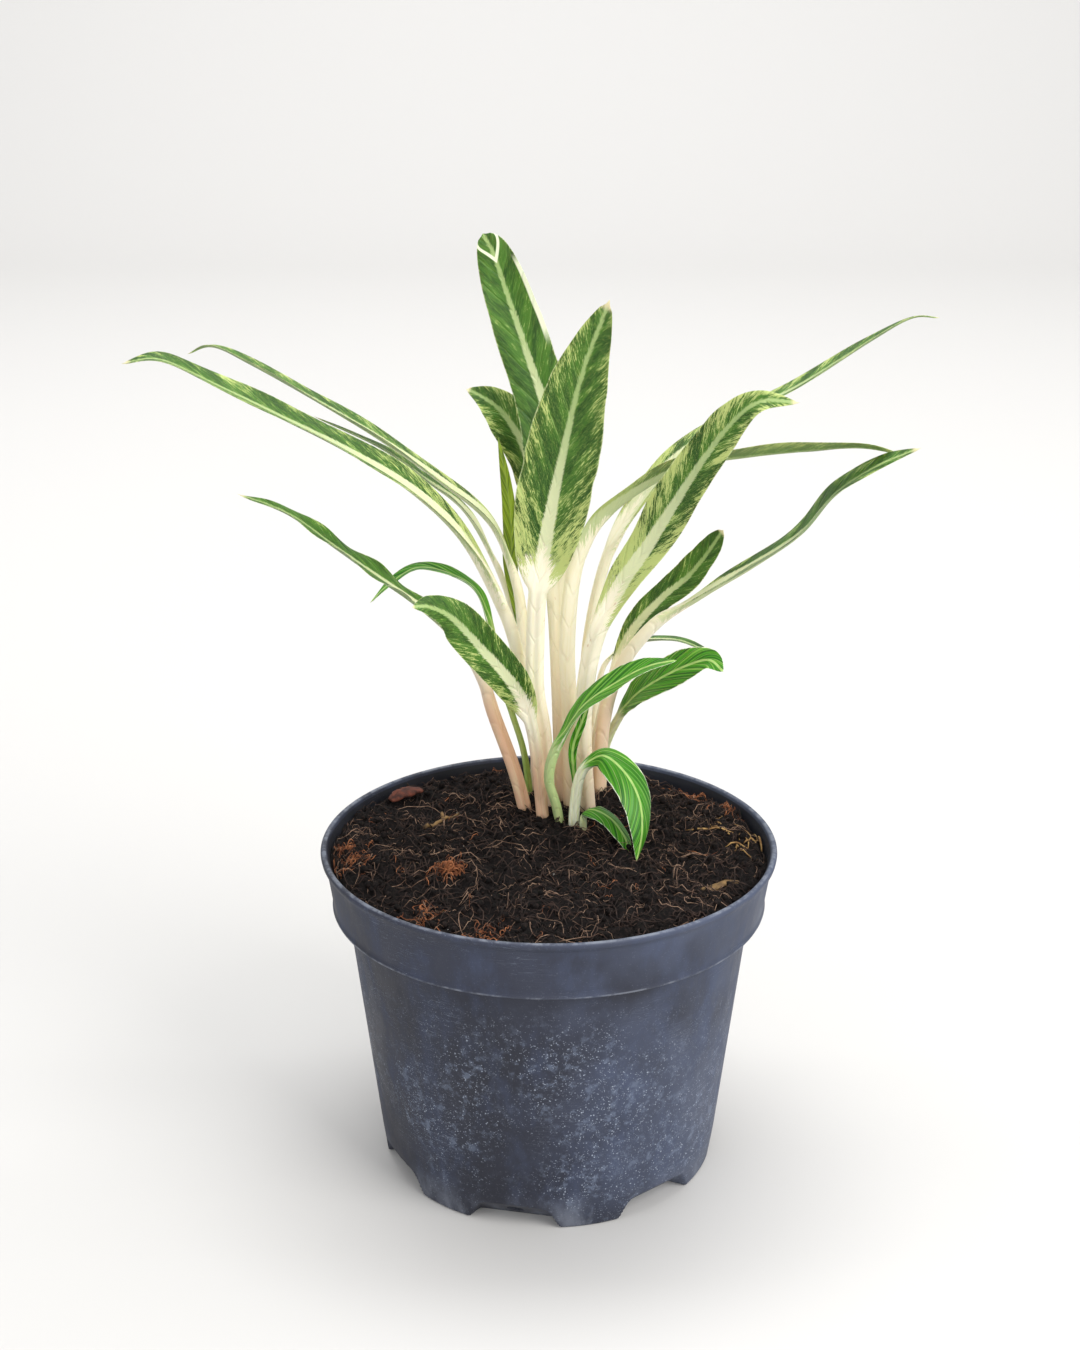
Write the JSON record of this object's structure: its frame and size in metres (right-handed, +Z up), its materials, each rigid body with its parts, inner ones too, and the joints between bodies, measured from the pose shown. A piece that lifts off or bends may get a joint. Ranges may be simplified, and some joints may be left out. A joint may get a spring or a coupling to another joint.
{
  "type": "potted chinese evergreen",
  "caption": "Leafy house plant with cream petioles and narrow variegated leaves, rooted in dark potting mix in a tapered plastic nursery pot with a deep collar.",
  "frame": {"origin": "middle of the pot's underside, on the surface that it stands on", "axes": "+Z up, +X to the right and -Y to the front, where the small drooping leaf is"},
  "size_m": [0.291, 0.17, 0.344],
  "materials": {
    "pot_plastic": "matt moulded, scuffed and dusty",
    "potting_mix": "loose, fibrous, damp peat and coir",
    "leaf": "satin dark green blade, cream midrib and flecks, ivory petiole",
    "young_leaf": "satin bright green blade with pale stripes and edges",
    "litter": "dry fibre, bark and straw"
  },
  "bodies": {
    "root": {"nursery_pot": "pot_plastic", "potting_mix": "potting_mix", "leaf_left_long": "leaf", "leaf_left_upper": "leaf", "leaf_left_inner": "leaf", "leaf_left_low": "leaf", "leaf_left_front": "leaf", "leaf_left_young": "young_leaf", "leaf_back_left": "leaf", "leaf_back_spear": "young_leaf", "leaf_back_tall": "leaf", "leaf_front_centre": "leaf", "leaf_front_right": "leaf", "leaf_right_mid": "leaf", "leaf_right_back": "leaf", "leaf_right_long": "leaf", "leaf_right_inner": "leaf", "leaf_right_behind": "leaf", "leaf_right_young": "young_leaf", "leaf_front_young": "young_leaf", "leaf_front_spear": "young_leaf", "leaf_front_droop": "young_leaf", "leaf_front_low": "young_leaf", "coir_tuft": "litter", "bark_piece": "litter", "wood_chip": "litter", "forked_twig": "litter", "straw": "litter"}
  },
  "joints": []
}
